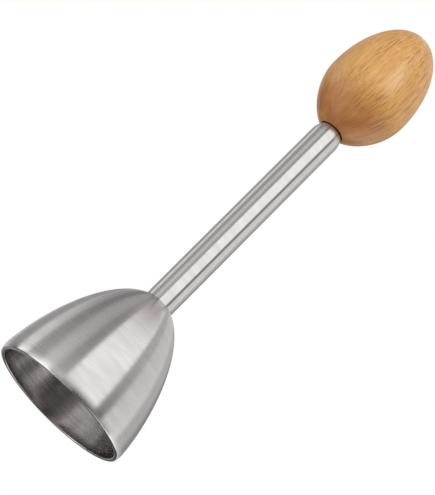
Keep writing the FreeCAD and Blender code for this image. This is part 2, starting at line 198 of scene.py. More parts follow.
def stand(name: str, data: bpy.types.ID) -> bpy.types.Object:
    """Put a new object in the scene.

    Args:
        name: Its name.
        data: Its mesh, lamp or camera.

    Returns:
        The object.
    """
    made = bpy.data.objects.new(name, data)
    bpy.context.scene.collection.objects.link(made)
    return made


def last_before(
    low: float, high: float, past: Callable[[float], bool], near: float
) -> float:
    """Find where a test turns true.

    Args:
        low: A value that doesn't pass it.
        high: A value that does.
        past: The test.
        near: How near the answer has to be.

    Returns:
        The last value known not to pass it.
    """
    while high - low > near:
        middle = (low + high) / 2
        if past(middle):
            high = middle
        else:
            low = middle
    return low


@dataclass
class Outline:
    """The outline of a turned piece, drawn as points of radius and height in millimetres."""

    points: list[Pair] = field(default_factory=list)
    soft: dict[int, float] = field(default_factory=dict)
    steps: int = 6

    def to(self, *places: Pair) -> "Outline":
        """Go straight to each place in turn."""
        self.points.extend(places)
        return self

    def soften(self, reach: float) -> "Outline":
        """Round the last corner, starting at this distance from it."""
        self.soft[len(self.points) - 1] = reach
        return self

    def arc(
        self, centre: Pair, radius: float, first: float, last: float, steps: int
    ) -> "Outline":
        """Follow an arc.

        Args:
            centre: Its centre.
            radius: Its radius.
            first: Angle of its start, in radians above the horizontal.
            last: Angle of its end.
            steps: Number of runs that draw it.

        Returns:
            The outline itself.
        """
        for i in range(steps + 1):
            angle = first + (last - first) * i / steps
            self.to((centre[0] + radius * math.cos(angle), centre[1] + radius * math.sin(angle)))
        return self

    def drawn(self) -> list[Pair]:
        """Draw the outline with its soft corners rounded.

        Returns:
            The points of the finished outline.
        """
        lengths = [0.0]
        for a, b in zip(self.points, self.points[1:]):
            lengths.append(lengths[-1] + math.dist(a, b))

        def at(length: float) -> Pair:
            """Find a place on the outline.

            Args:
                length: Its length along the outline.

            Returns:
                The place.
            """
            i = max(k for k, known in enumerate(lengths[:-1]) if known <= length)
            share = (length - lengths[i]) / max(lengths[i + 1] - lengths[i], LEAST)
            a, b = self.points[i], self.points[i + 1]
            return (a[0] + (b[0] - a[0]) * share, a[1] + (b[1] - a[1]) * share)

        found: list[Pair] = []
        for i, place in enumerate(self.points):
            if i in self.soft:
                before, after = at(lengths[i] - self.soft[i]), at(lengths[i] + self.soft[i])
                for k in range(self.steps + 1):
                    t = k / self.steps
                    weights = ((1 - t) ** 2, 2 * t * (1 - t), t * t)
                    found.append(tuple(
                        sum(w * p[axis] for w, p in zip(weights, (before, place, after)))
                        for axis in (0, 1)
                    ))
            elif all(abs(lengths[i] - lengths[k]) > reach for k, reach in self.soft.items()):
                found.append(place)
        return [p for i, p in enumerate(found) if i == 0 or math.dist(p, found[i - 1]) > TINY]


@dataclass(frozen=True)
class Lathe:
    """Geometry nodes that turn an outline round the Z axis into a closed surface."""

    segments: int = 256
    merge: float = 1e-7  # metres: far less than any edge, so it only closes the seam and the poles

    def tree(self) -> bpy.types.NodeTree:
        """Build the node tree.

        Returns:
            A tree with the inputs Outline, Rings, Segments and Finish.
        """
        tree, add, given = start_tree("turn outline", {
            "Outline": "Geometry", "Rings": "Int", "Segments": "Int", "Finish": "Material"})

        # A grid with a row for each point of the outline and a column for each step round the axis
        last_ring = add("Math:SUBTRACT", [given["Rings"], 1.0])
        columns = add("Math:ADD", [given["Segments"], 1.0])
        grid = add("GeometryNodeMeshGrid",
                   {"Size X": last_ring, "Size Y": given["Segments"], "Vertices X": given["Rings"],
                    "Vertices Y": columns})
        place = add("SeparateXYZ", [add("GeometryNodeInputPosition")]).outputs
        half_rings = add("Math:MULTIPLY", [last_ring, 0.5])
        half_turn = add("Math:MULTIPLY", [given["Segments"], 0.5])
        ring = add("Math:ADD", [place["X"], half_rings])
        ring = add("Math:ROUND", [ring])
        step = add("Math:ADD", [place["Y"], half_turn])
        share = add("Math:DIVIDE", [step, given["Segments"]])
        angle = add("Math:MULTIPLY", [share, 2 * math.pi])

        # The lengths are sampled on the grid before it is bent, while its rows can still be told
        known = add("GeometryNodeInputNamedAttribute", {"Name": ALONG}, data_type="FLOAT")
        length = add("GeometryNodeSampleIndex",
                     {"Geometry": given["Outline"], "Index": ring, "Value": known},
                     data_type="FLOAT", domain="POINT")
        stored = add("GeometryNodeStoreNamedAttribute",
                     {"Geometry": grid, "Name": ALONG, "Value": length}, data_type="FLOAT",
                     domain="POINT")

        # Each row goes to its point of the outline, and its columns round the axis
        point = add("GeometryNodeSampleIndex",
                    {"Geometry": given["Outline"], "Index": ring,
                     "Value": add("GeometryNodeInputPosition")}, data_type="FLOAT_VECTOR",
                    domain="POINT")
        turned = add("VectorRotate", {"Vector": point, "Angle": angle}, rotation_type="Z_AXIS")
        surface = add("GeometryNodeSetPosition", {"Geometry": stored, "Position": turned})
        closed = add("GeometryNodeMergeByDistance", {"Geometry": surface, "Distance": self.merge})
        end_tree(add, closed, given["Finish"])
        return tree

    def turn(
        self, name: str, outline: list[Pair], finish: bpy.types.Material
    ) -> bpy.types.Object:
        """Turn an outline into a piece.

        Args:
            name: The piece's name.
            outline: Points of radius and height in millimetres.
            finish: Its material.

        Returns:
            A plain mesh object at the origin.
        """
        mesh = bpy.data.meshes.new(name + "_outline")
        mesh.from_pydata([(r * MM, 0, z * MM) for r, z in outline],
                         [(i, i + 1) for i in range(len(outline) - 1)], [])
        along, length = mesh.attributes.new(ALONG, "FLOAT", "POINT"), 0.0
        for i, place in enumerate(outline):
            length += math.dist(place, outline[max(i - 1, 0)]) * MM
            along.data[i].value = length
        source = stand(name + "_outline", mesh)
        values = {"Rings": len(outline), "Segments": self.segments, "Finish": finish}
        return made_by_nodes(name, source, self.tree(), values)


def made_by_nodes(
    name: str, source: bpy.types.Object, tree: bpy.types.NodeTree, values: dict[str, object]
) -> bpy.types.Object:
    """Run geometry nodes on an object and keep the result as a plain mesh.

    Args:
        name: Name of the new piece.
        source: Object that the nodes start from. It is removed.
        tree: The node tree.
        values: Values of the tree's inputs by name.

    Returns:
        The new piece, smooth, with sharp corners kept and its faces outwards.
    """
    modifier = source.modifiers.new(name, "NODES")
    modifier.node_group = tree
    for item in tree.interface.items_tree:
        if item.item_type == "SOCKET" and item.in_out == "INPUT" and item.name in values:
            modifier[item.identifier] = values[item.name]
    ready = source.evaluated_get(bpy.context.evaluated_depsgraph_get())
    mesh = bpy.data.meshes.new_from_object(ready)
    mesh.name = name
    source.modifiers.remove(modifier)
    bpy.data.objects.remove(source)
    shell = bmesh.new()
    shell.from_mesh(mesh)
    bmesh.ops.recalc_face_normals(shell, faces=shell.faces)
    shell.to_mesh(mesh)
    shell.free()
    mesh.materials.clear()  # the nodes leave an empty slot before the finish
    mesh.materials.append(values["Finish"])
    mesh.polygons.foreach_set("material_index", [0] * len(mesh.polygons))
    mesh.shade_smooth()
    mesh.set_sharp_from_angle(angle=SHARP)
    return stand(name, mesh)


@dataclass(frozen=True)
class RoundSteel:
    """Stainless steel that an abrasive has lined round its axis.

    The lines spread a highlight along the outline and keep it sharp round the axis, so reflections
    lie in bands from end to end of the piece.
    """

    name: str
    light: str = "#E0DCDC"
    dark: str = "#D2CECE"
    roughness: float = 0.27
    wear: float = 0.12  # how far the roughness goes either way, as a share
    spread: float = 0.90  # how much further the lines spread light along the outline
    line_width: float = 0.30  # mm. Real lines are about 0.02 mm: drawn this coarse to show
    line_length: float = 9.0  # mm round the axis
    line_depth: float = 0.0004  # mm
    broad_stretch: float = 0.16  # how much finer than the broad bands of lines the lines are
    broad_share: float = 0.35  # of those bands in the tone
    line_mix: float = 0.7  # weight of the finest detail in the lines
    line_turn: float = 0.25  # of a full turn, from the way round the axis to the way light spreads
    rings: Rings = Rings.HEIGHT

    def material(self) -> bpy.types.Material:
        """Build the material.

        Returns:
            A metal with lines in its colour, roughness and relief.
        """
        made, add, steel = blank(self.name)
        place = add("TexCoord").outputs["Object"]
        parts = add("SeparateXYZ", [place]).outputs
        if self.rings is Rings.OUTLINE:
            length = add("Attribute", attribute_name=ALONG).outputs["Fac"]
        else:
            flat = add("VectorMath:MULTIPLY", [place, (1.0, 1.0, 0.0)])
            radius = add("VectorMath:LENGTH", [flat])
            length = add("Math:SUBTRACT", [parts["Z"], radius])
        along, across = (1 / (size * MM) for size in (self.line_width, self.line_length))
        lines = add("CombineXYZ", {"X": parts["X"], "Y": parts["Y"], "Z": length})
        scaled = add("VectorMath:MULTIPLY", [lines, (across, across, along)])
        fine = add("TexNoise",
                   {"Vector": scaled, "Scale": 1.0, "Detail": 3.0, "Roughness": self.line_mix})
        broad = add("VectorMath:MULTIPLY", [scaled, (1.0, 1.0, self.broad_stretch)])
        wide = add("TexNoise", {"Vector": broad, "Scale": 1.0, "Detail": 1.0})
        both = add("Mix", [self.broad_share, fine, wide], data_type="FLOAT")
        tone = add("MapRange", [both, *NOISE])
        colour = add("Mix", [tone, linear(self.dark), linear(self.light)], data_type="RGBA")
        rough = add("MapRange",
                    [wide, *NOISE, self.roughness * (1 + self.wear),
                     self.roughness * (1 - self.wear)])
        relief = add("Bump", {"Strength": 1.0, "Distance": self.line_depth * MM, "Height": fine})
        feed(steel,
             {"Metallic": 1.0, "Anisotropic": self.spread, "Anisotropic Rotation": self.line_turn,
              "Tangent": add("Tangent", direction_type="RADIAL", axis="Z"), "Base Color": colour,
              "Roughness": rough, "Normal": relief})
        return made


@dataclass(frozen=True)
class DrawnMetal:
    """Bar or wire metal as it leaves the die or the tool, with faint patches of wear and oil."""

    name: str
    light: str
    dark: str
    roughness: float
    wear: float = 0.2  # how far the roughness goes either way, as a share
    patch: float = 1.4  # mm
    span: Pair = (0.35, 0.65)  # of the noise, from the dark colour to the light one

    def material(self) -> bpy.types.Material:
        """Build the material.

        Returns:
            A metal with patchy colour and roughness.
        """
        made, add, metal = blank(self.name)
        place = add("TexCoord").outputs["Object"]
        patches = add("TexNoise", {"Vector": place, "Scale": 1 / (self.patch * MM), "Detail": 4.0})
        tone = add("MapRange", [patches, *self.span])
        colour = add("Mix", [tone, linear(self.dark), linear(self.light)], data_type="RGBA")
        rough = add("MapRange",
                    [patches, *self.span, self.roughness * (1 + self.wear),
                     self.roughness * (1 - self.wear)])
        feed(metal, {"Metallic": 1.0, "Base Color": colour, "Roughness": rough})
        return made


@dataclass(frozen=True)
class LacqueredBeech:
    """Steamed beech, turned with its grain along the axis, sanded and coated with satin lacquer.

    Steaming gives the orange tan. The grain shows as faint long streaks and, most of all, as short
    dark flecks along the axis, and the blunt end is darker with painted shade.
    """

    name: str
    light: str = "#E4B16D"
    middle: str = "#D09852"
    dark: str = "#B57839"
    fleck: str = "#75451F"
    # colour of the painted shade at the blunt end
    painted_end_shade: str = "#AC652C"
    pith: tuple[float, float, float] = (0.031, 0.012, 0.0)  # m, outside the knob
    ring_width: float = 2.6  # mm
    ring_lean: float = 0.06  # how little the rings change along the grain
    streak: Pair = (0.6, 16.0)  # mm across and along the grain
    hair: Pair = (0.22, 5.0)  # mm
    cloud: Pair = (7.0, 14.0)  # mm
    streak_share: float = 0.74  # of streaks against growth rings in the tone
    hair_share: float = 0.45  # of hairs against both
    to_light: Pair = (0.42, 0.62)  # tones between which the light colour comes in
    to_dark: Pair = (0.42, 0.20)
    fleck_cell: Pair = (0.42, 5.0)  # mm
    fleck_core: Pair = (0.40, 0.22)  # shares of a cell, from a fleck's edge to its middle
    fleck_crowd: Pair = (0.38, 0.58)  # clouds between which flecks come in
    fleck_strength: float = 0.7
    girth: float = 12.0  # mm, radius at which the flecks have their width
    painted_end_shade_heights: Pair = (100.5, 113.0)  # mm, heights between which the painted shade at the blunt end fades
    painted_end_shade_strength: float = 1.6
    roughness: Pair = (0.52, 0.42)
    ior: float = 1.5
    specular: float = 0.35
    coat: float = 0.5
    coat_roughness: float = 0.30
    relief: float = 0.008  # mm

    def material(self) -> bpy.types.Material:
        """Build the material.

        Returns:
            Wood with rings, streaks, hairs and flecks under a satin coat.
        """
        made, add, wood = blank(self.name)
        place = add("TexCoord").outputs["Object"]

        def per(size: Pair) -> tuple[float, float, float]:
            """Scale of a pattern from its size across and along the grain."""
            return (1 / (size[0] * MM), 1 / (size[0] * MM), 1 / (size[1] * MM))

        def stretched(size: Pair, detail: float) -> bpy.types.Node:
            """Draw noise out along the grain.

            Args:
                size: Its size across and along the grain.
                detail: How many finer noises it holds.

            Returns:
                The noise.
            """
            where = add("VectorMath:MULTIPLY", [place, per(size)])
            return add("TexNoise", {"Vector": where, "Scale": 1.0, "Detail": detail})

        streaks, hairs = stretched(self.streak, 4.0), stretched(self.hair, 2.0)
        clouds = stretched(self.cloud, 2.0)

        # Growth rings round a pith outside the knob, bent a little by the clouds
        from_pith = add("VectorMath:SUBTRACT", [place, self.pith])
        level = add("VectorMath:MULTIPLY", [from_pith, (1.0, 1.0, self.ring_lean)])
        distance = add("VectorMath:LENGTH", [level])
        count = add("Math:MULTIPLY_ADD", [distance, 1 / (self.ring_width * MM), clouds])
        tone = add("Math:PINGPONG", [count, 0.5])
        for share, over in ((self.streak_share, streaks), (self.hair_share, hairs)):
            tone = add("Mix", [share, tone, over], data_type="FLOAT")
        height = add("SeparateXYZ", [place]).outputs["Z"]
        # Painted shade: the blunt end darkens, patchy with the clouds
        ends = add("MapRange", [height, self.painted_end_shade_heights[1] * MM, self.painted_end_shade_heights[0] * MM],
                   interpolation_type="SMOOTHSTEP")
        painted_end_shade = add("Math:MULTIPLY", [ends, clouds])
        painted_end_shade = add("Math:MULTIPLY", [painted_end_shade, self.painted_end_shade_strength], use_clamp=True)

        # Flecks: the short dark rays that mark beech, in clusters, drawn out over the surface
        flat = add("VectorMath:MULTIPLY", [place, (1.0, 1.0, 0.0)])
        round_axis = add("VectorMath:NORMALIZE", [flat])
        surface = add("VectorMath:MULTIPLY_ADD", [round_axis, (self.girth * MM,) * 3, place])
        surface = add("VectorMath:SUBTRACT", [surface, flat])
        cells = add("VectorMath:MULTIPLY", [surface, per(self.fleck_cell)])
        spots = add("TexVoronoi", {"Vector": cells, "Scale": 1.0}, feature="F1")
        lighter, darker, core, crowd = (add("MapRange", [value, *span])
                                        for value, span in ((tone, self.to_light),
                                                            (tone, self.to_dark),
                                                            (spots, self.fleck_core),
                                                            (clouds, self.fleck_crowd)))
        flecks = add("Math:MULTIPLY", [core, crowd])
        shown = add("Math:MULTIPLY", [flecks, self.fleck_strength])

        colour: object = linear(self.middle)
        for share, over in ((lighter, self.light), (darker, self.dark), (painted_end_shade, self.painted_end_shade),
                            (shown, self.fleck)):
            colour = add("Mix", [share, colour, linear(over)], data_type="RGBA")
        rough = add("MapRange", [streaks, *NOISE, *self.roughness])
        relief = add("Math:SUBTRACT", [hairs, flecks])
        bump = add("Bump", {"Strength": 1.0, "Distance": self.relief * MM, "Height": relief})
        feed(wood,
             {"IOR": self.ior, "Specular IOR Level": self.specular, "Coat Weight": self.coat,
              "Coat Roughness": self.coat_roughness, "Base Color": colour, "Roughness": rough,
              "Normal": bump})
        return made


@dataclass
class Bell:
    """The spun steel cup that sits on the egg."""

    radius: float = 18.99
    base: float = 0.30
    height: float = 35.25
    fullness: float = 1.633
    shoulder: float = 2.012
    wall: float = 1.0
    curl_start: float = 2.2
    curl_radius: float = 5.5
    rim_outer_ease: float = 0.28
    rim_inner_ease: float = 0.42
    crown_radius: float = 4.15
    crown_thickness: float = 1.2
    crown_ease: float = 0.05
    hole: float = 2.55
    rings: int = 72
    outer_steps: int = 14  # round the curl
    inner_steps: int = 12

    def crown_top(self) -> float:
        """Height of the flat land that the tube stands on."""
        share = 1 - (self.crown_radius / self.radius) ** self.shoulder
        return self.base + self.height * share ** (1 / self.fullness)

    def outside(self, height: float, depth: float = 0.0) -> Pair:
        """A point of the dome.

        Args:
            height: Height of the point outside.
            depth: How far to go in from it, square to the surface.

        Returns:
            Its radius and height.
        """
        share = (height - self.base) / self.height
        left = 1 - share ** self.fullness
        slope = -self.radius / self.height * self.fullness / self.shoulder
        slope *= share ** (self.fullness - 1) * left ** (1 / self.shoulder - 1)
        length = math.hypot(slope, 1)
        radius = self.radius * left ** (1 / self.shoulder)
        return (radius - depth / length, height + slope / length * depth)

    def outline(self) -> list[Pair]:
        """Draw the wall: down the outside, round the rim and up the inside.

        Returns:
            The closed outline, which ends where it starts.
        """
        top = self.crown_top()
        underside = top - self.crown_thickness
        centre = self.outside(self.curl_start, self.curl_radius)
        start = self.outside(self.curl_start)
        start_angle = math.atan2(start[1] - centre[1], start[0] - centre[0])
        inner_radius = self.curl_radius - self.wall
        inner_top = last_before(self.curl_start, top,
                                lambda z: self.outside(z, self.wall)[1] > underside, 1e-6)
        heights = [
            [self.curl_start + (end - self.curl_start) * math.sin(math.pi / 2 * i / self.rings)
             for i in range(1, self.rings + 1)]
            for end in (top, inner_top)
        ]
        drawn = Outline().to((self.hole, top), (self.crown_radius, top)).soften(self.crown_ease)
        drawn.to(*(self.outside(z) for z in reversed(heights[0][:-1])))
        drawn.arc(centre, self.curl_radius, start_angle,
                  -math.asin(centre[1] / self.curl_radius), self.outer_steps).soften(self.rim_outer_ease)
        inner_angle = -math.asin(centre[1] / inner_radius)
        land_inner = centre[0] + inner_radius * math.cos(inner_angle)
        drawn.to((land_inner, 0.0)).soften(self.rim_inner_ease)
        drawn.arc(centre, inner_radius, inner_angle, start_angle, self.inner_steps)
        drawn.to(*(self.outside(z, self.wall) for z in heights[1]))
        drawn.to((self.hole, underside), (self.hole, top))
        return drawn.drawn()

    def build(self) -> bpy.types.Object:
        """Turn the bell, dress it and set it on the housing.

        Returns:
            The bell.
        """
        # Spun stainless steel, brushed round its axis: bright bands that run up the dome. Inside it
        # keeps the marks of the spinning tool, which are coarser, and its darker tone is painted shade.
        outside = RoundSteel("brushed spun steel", rings=Rings.OUTLINE)
        piece = Lathe().turn("bell_shell", self.outline(), outside.material())
        inside = RoundSteel("spun steel as formed with painted shade", rings=Rings.OUTLINE, line_width=0.5,
                            roughness=0.24, dark="#B9B4B1")
        piece.data.materials.append(inside.material())
        # The inside is what faces the axis, and the underside of the crown
        for face in piece.data.polygons:
            inward = face.center.xy.dot(face.normal.xy) < 0 < face.center.z
            underside = face.normal.z < -0.5 and face.center.z > self.curl_start * MM
            face.material_index = int(inward or underside)
        return placed(piece, Body.HOUSING, "bell")


@dataclass
class HandleTube:
    """The steel tube between bell and knob, its upper end spun in over the bush and cut square."""

    foot: float
    radius: float = 4.0
    wall: float = 0.5
    length: float = 64.77
    end_round: float = 6.2
    end_radius: float = 3.0
    foot_break: float = 0.10
    edge_ease: float = 0.06
    outer_steps: int = 24  # round the spun end
    inner_steps: int = 12

    def outline(self) -> list[Pair]:
        """Draw the wall: down the outside and up the bore.

        Returns:
            The closed outline.
        """
        top = self.foot + self.length
        reach = self.end_radius - self.radius + self.end_round
        centre = (self.radius - self.end_round, top - math.sqrt(self.end_round ** 2 - reach ** 2))
        inner_round = self.end_round - self.wall
        outer_angle = math.asin((top - centre[1]) / self.end_round)
        inner_angle = math.asin((top - centre[1]) / inner_round)
        inner_lip = centre[0] + inner_round * math.cos(inner_angle)
        middle = ((inner_lip + self.end_radius) / 2, top)
        drawn = Outline().to(middle)
        drawn.arc(centre, self.end_round, outer_angle, 0.0, self.outer_steps)
        drawn.soft[1] = self.edge_ease
        drawn.to((self.radius, self.foot + self.foot_break),
                 (self.radius - self.foot_break, self.foot),
                 (self.radius - self.wall, self.foot))
        drawn.arc(centre, inner_round, 0.0, inner_angle, self.inner_steps)
        drawn.to(middle)
        return drawn.drawn()

    def build(self) -> bpy.types.Object:
        """Turn the tube, dress it and set it on the housing.

        Returns:
            The tube.
        """
        # Stainless tube, centreless ground: finer lines and a tighter gloss than the bell's
        finish = RoundSteel("ground tube steel", rings=Rings.OUTLINE, roughness=0.20,
                            line_width=0.24, line_length=5.0)
        piece = Lathe(segments=192).turn("handle_shell", self.outline(), finish.material())
        return placed(piece, Body.HOUSING, "handle_tube")


@dataclass
class EggKnob:
    """The wooden egg, with its lip round the tube's end, its recess and the insert's bore."""

    tube_top: float
    gap: float = 0.25  # between the tube and the solid's flat seat, at rest
    radius: float = 12.13
    blunt: float = 15.51
    pointed: float = 21.31
    blunt_taper: float = -0.129
    pointed_taper: float = 0.01
    seat_radius: float = 4.35  # where the egg's curve meets the height of the seat
    lip_radius: float = 3.52  # where it ends, round the tube's spun end
    recess_radius: float = 3.42
    recess_depth: float = 1.2
    bore_radius: float = 2.5
    bore_depth: float = 10.8
    edge_ease: float = 0.045
    rings: int = 110

    def place(self, angle: float) -> Pair:
        """A point of the egg, with heights counted from where it is widest.

        Args:
            angle: From 0 at the blunt end to half a turn at the pointed end.

        Returns:
            Its radius and height.
        """
        is_blunt = angle < math.pi / 2
        length = self.blunt if is_blunt else self.pointed
        taper = self.blunt_taper if is_blunt else self.pointed_taper
        swell = 1 + taper * math.cos(angle) ** 2
        return (self.radius * math.sin(angle) * swell, -length * math.cos(angle))

    def angle_at(self, radius: float) -> float:
        """The angle at which the blunt end has this radius."""
        return last_before(0.0, math.pi / 2, lambda angle: self.place(angle)[0] > radius, 1e-9)

    def outline(self) -> list[Pair]:
        """Draw the egg from its tip down to the lip, and in to the bore.

        Returns:
            The outline, with both ends on the axis.
        """
        seat = self.tube_top + self.gap
        widest = seat - self.place(self.angle_at(self.seat_radius))[1]
        last = self.angle_at(self.lip_radius)
        lip = widest + self.place(last)[1]
        floor = seat + self.recess_depth
        drawn = Outline().to((0.0, widest + self.pointed))
        for i in range(1, self.rings + 1):
            radius, height = self.place(math.pi + (last - math.pi) * i / self.rings)
            drawn.to((radius, height + widest))
        drawn.soften(self.edge_ease)
        drawn.to((self.recess_radius, lip)).soften(self.edge_ease)
        drawn.to((self.recess_radius, floor), (self.bore_radius, floor),
                 (self.bore_radius, floor + self.bore_depth), (0.0, floor + self.bore_depth))
        return drawn.drawn()

    def build(self) -> bpy.types.Object:
        """Turn the egg, dress it and set it on the plunger.

        Returns:
            The knob.
        """
        finish = LacqueredBeech("lacquered steamed beech")
        piece = Lathe(segments=192).turn("knob_wood", self.outline(), finish.material())
        # In the recess and the bore the wood is dark: painted shade where the tube's end meets the seat
        painted_recess_shade = LacqueredBeech("beech with painted recess shade", light="#4E3824", middle="#3F2C1C",
                              dark="#2E2015", painted_end_shade="#35241A")
        piece.data.materials.append(painted_recess_shade.material())
        for face in piece.data.polygons:
            face.material_index = int(face.center.xy.length < self.recess_radius * MM
                                      and face.center.z < (self.tube_top + self.blunt) * MM
                                      and face.normal.xy.dot(face.center.xy) <= 0)
        return placed(piece, Body.PLUNGER, "egg_knob")


@dataclass
class Spring:
    """The compression spring round the bush's nose, wound from one wire with ground ends."""

    foot: float = 57.028
    top: float = 92.198
    wire: float = 0.30
    coil: float = 2.70
    turns: int = 16
    closed_pitch: float = 1.05
    ground: float = 0.2
    pulled: float = 15.17  # length at full pull
    sides: int = 16
    steps_per_turn: int = 48

    def tree(self) -> bpy.types.NodeTree:
        """Build the nodes that wind the wire.

        Returns:
            A tree with the spring's sizes as inputs, in metres.
        """
        sizes = ("Foot", "Top", "Wire", "Coil", "Turns", "Closed pitch", "Open pitch", "Ground")
        tree, add, given = start_tree("wind spring", {
            "Start": "Geometry", **dict.fromkeys(sizes, "Float"),
            "Steps": "Int", "Sides": "Int", "Finish": "Material"})
        known: dict[str | float, object] = {**given, "point": add("GeometryNodeInputIndex")}
        for name, operation, *values in (
            ("points", "ADD", "Steps", 1.0),
            # Turns wound so far at each point of the wire, and from the nearer end
            ("share", "DIVIDE", "point", "Steps"),
            ("wound", "MULTIPLY", "share", "Turns"),
            ("left", "SUBTRACT", "Turns", "wound"),
            ("near", "MINIMUM", "wound", "left"),
            # Height: closed pitch at both ends, and over one turn the pitch opens smoothly
            ("past closed", "SUBTRACT", "near", 0.5),
            ("begun", "MAXIMUM", "past closed", 0.0),
            ("opening", "MINIMUM", "begun", 1.0),
            ("cube", "POWER", "opening", 3.0),
            ("fourth", "MULTIPLY", "cube", "opening"),
            ("half", "MULTIPLY", "fourth", 0.5),
            ("eased", "SUBTRACT", "cube", "half"),
            ("past opening", "SUBTRACT", "near", 1.5),
            ("open", "MAXIMUM", "past opening", 0.0),
            ("opened", "ADD", "eased", "open"),
            ("extra", "SUBTRACT", "Open pitch", "Closed pitch"),
            ("closed rise", "MULTIPLY", "near", "Closed pitch"),
            ("open rise", "MULTIPLY", "opened", "extra"),
            ("rise", "ADD", "closed rise", "open rise"),
            ("edge", "SUBTRACT", "Wire", "Ground"),
            ("first", "ADD", "Foot", "edge"),
            ("from foot", "ADD", "first", "rise"),
            ("last", "SUBTRACT", "Top", "edge"),
            ("from top", "SUBTRACT", "last", "rise"),
            ("upper", "GREATER_THAN", "wound", "left"),
            # Round the axis
            ("angle", "MULTIPLY", "wound", 2 * math.pi),
            ("cosine", "COSINE", "angle"),
            ("sine", "SINE", "angle"),
            ("x", "MULTIPLY", "cosine", "Coil"),
            ("y", "MULTIPLY", "sine", "Coil"),
        ):
            known[name] = add("Math:" + operation, [known.get(value, value) for value in values])
        line = add("GeometryNodeMeshLine", {"Count": known["points"]})
        height = add("Mix", [known["upper"], known["from foot"], known["from top"]],
                     data_type="FLOAT")
        place = add("CombineXYZ", {"X": known["x"], "Y": known["y"], "Z": height})
        path = add("GeometryNodeSetPosition", {"Geometry": line, "Position": place})
        curve = add("GeometryNodeMeshToCurve", [path])
        ring = add("GeometryNodeCurvePrimitiveCircle",
                   {"Resolution": given["Sides"], "Radius": given["Wire"]})
        tube = add("GeometryNodeCurveToMesh",
                   {"Curve": curve, "Profile Curve": ring, "Fill Caps": True})

        # The ends are ground flat: what would stand past a face lies in it
        here = add("SeparateXYZ", [add("GeometryNodeInputPosition")]).outputs
        over_foot = add("Math:MAXIMUM", [here["Z"], given["Foot"]])
        level = add("Math:MINIMUM", [over_foot, given["Top"]])
        flat = add("CombineXYZ", {"X": here["X"], "Y": here["Y"], "Z": level})
        cut = add("GeometryNodeSetPosition", {"Geometry": tube, "Position": flat})
        end_tree(add, cut, given["Finish"])
        return tree

    def build(self) -> bpy.types.Object:
        """Wind the spring, dress it and set it on the housing.

        Returns:
            The spring.
        """
        rise = self.top - self.foot - 2 * (self.wire - self.ground)
        opened = self.turns / 2 - 1  # turns of each half that the extra pitch counts for
        open_pitch = (rise / 2 - self.closed_pitch * self.turns / 2) / opened + self.closed_pitch
        # Drawn spring steel: grey, smooth and a little oily
        finish = DrawnMetal("oiled spring wire", "#A9A7A3", "#8B8883", 0.28, patch=0.8)
        values = {
            "Foot": self.foot * MM, "Top": self.top * MM, "Wire": self.wire * MM,
            "Coil": self.coil * MM, "Turns": float(self.turns),
            "Closed pitch": self.closed_pitch * MM, "Open pitch": open_pitch * MM,
            "Ground": self.ground * MM, "Steps": self.turns * self.steps_per_turn,
            "Sides": self.sides, "Finish": finish.material(),
        }
        source = stand("spring_start", bpy.data.meshes.new("spring_start"))
        piece = made_by_nodes("spring_wire", source, self.tree(), values)
        placed(piece, Body.HOUSING, "main_spring")
        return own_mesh(piece)


@dataclass
class InnerWorks:
    """The CAD pieces that keep their own shape: anvil, striker, rod, bush and fasteners."""

    def finishes(self) -> dict[str, RoundSteel | DrawnMetal]:
        """What each CAD node is finished with.

        Returns:
            Finishes by the names of the nodes, parted by commas.
        """
        # Turned bar steel and brass: the tool's feed leaves fine rings, which streak the light
        turned = RoundSteel("turned bar steel", light="#D3D1CD", dark="#B4B1AC", roughness=0.30,
                            spread=0.6, line_width=0.25)
        # Ground rod: rings too fine to see, and a bright line along it
        rod = RoundSteel("centreless ground rod steel", light="#DDDCD9", dark="#CFCECB",
                         roughness=0.13, spread=0.5, line_width=0.2, line_depth=0.0003)
        brass = RoundSteel("turned bush brass", light="#D9B569", dark="#BF9748",
                           roughness=0.26, spread=0.6, line_width=0.25)
        # Stamped, tempered and cold headed steel: smooth, with patches from die and heat
        stamped = DrawnMetal("stamped washer steel", "#CFCDC8", "#B3B0AA", 0.32)
        tempered = DrawnMetal("tempered washer steel", "#8E8A84", "#6E6A65", 0.36)
        headed = DrawnMetal("cold headed screw steel", "#C6C4C0", "#A9A6A1", 0.25)
        return {
            "anvil_plug,striker,striker_pin": turned,
            "pull_rod": rod,
            "guide_bush,knob_insert": brass,
            "crown_washer,thrust_washer": stamped,
            "lock_washer": tempered,
            "crown_screw": headed,
        }

    def dress(self) -> None:
        """Give every CAD node that still shows its material."""
        for names, metal in self.finishes().items():
            finish = metal.material()
            for name in names.split(","):
                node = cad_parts[name]
                node.data.materials.clear()
                node.data.materials.append(finish)
                log.info("%s: %s", name, finish.name)


@dataclass(frozen=True)
class Card:
    """One white panel or black flag that stands round the object in the studio.

    A card is placed by the side of the object that mirrors it to the front, in degrees round the
    axis, because a surface lined round its axis then shows it as one straight band. Its level
    changes with height, and a level of 1 is white.
    """

    side: float
    half_width: float
    level: float
    upper: float  # its level high up
    lower: float  # its level from just under the horizon down
    edge: float  # how far its soft edge reaches either way


@dataclass(frozen=True)
class Below:
    """A panel or flag under the level of the rim, by its azimuth from the front towards +X."""

    azimuth: float
    half_width: float
    level: float
    edge: float = 6.0


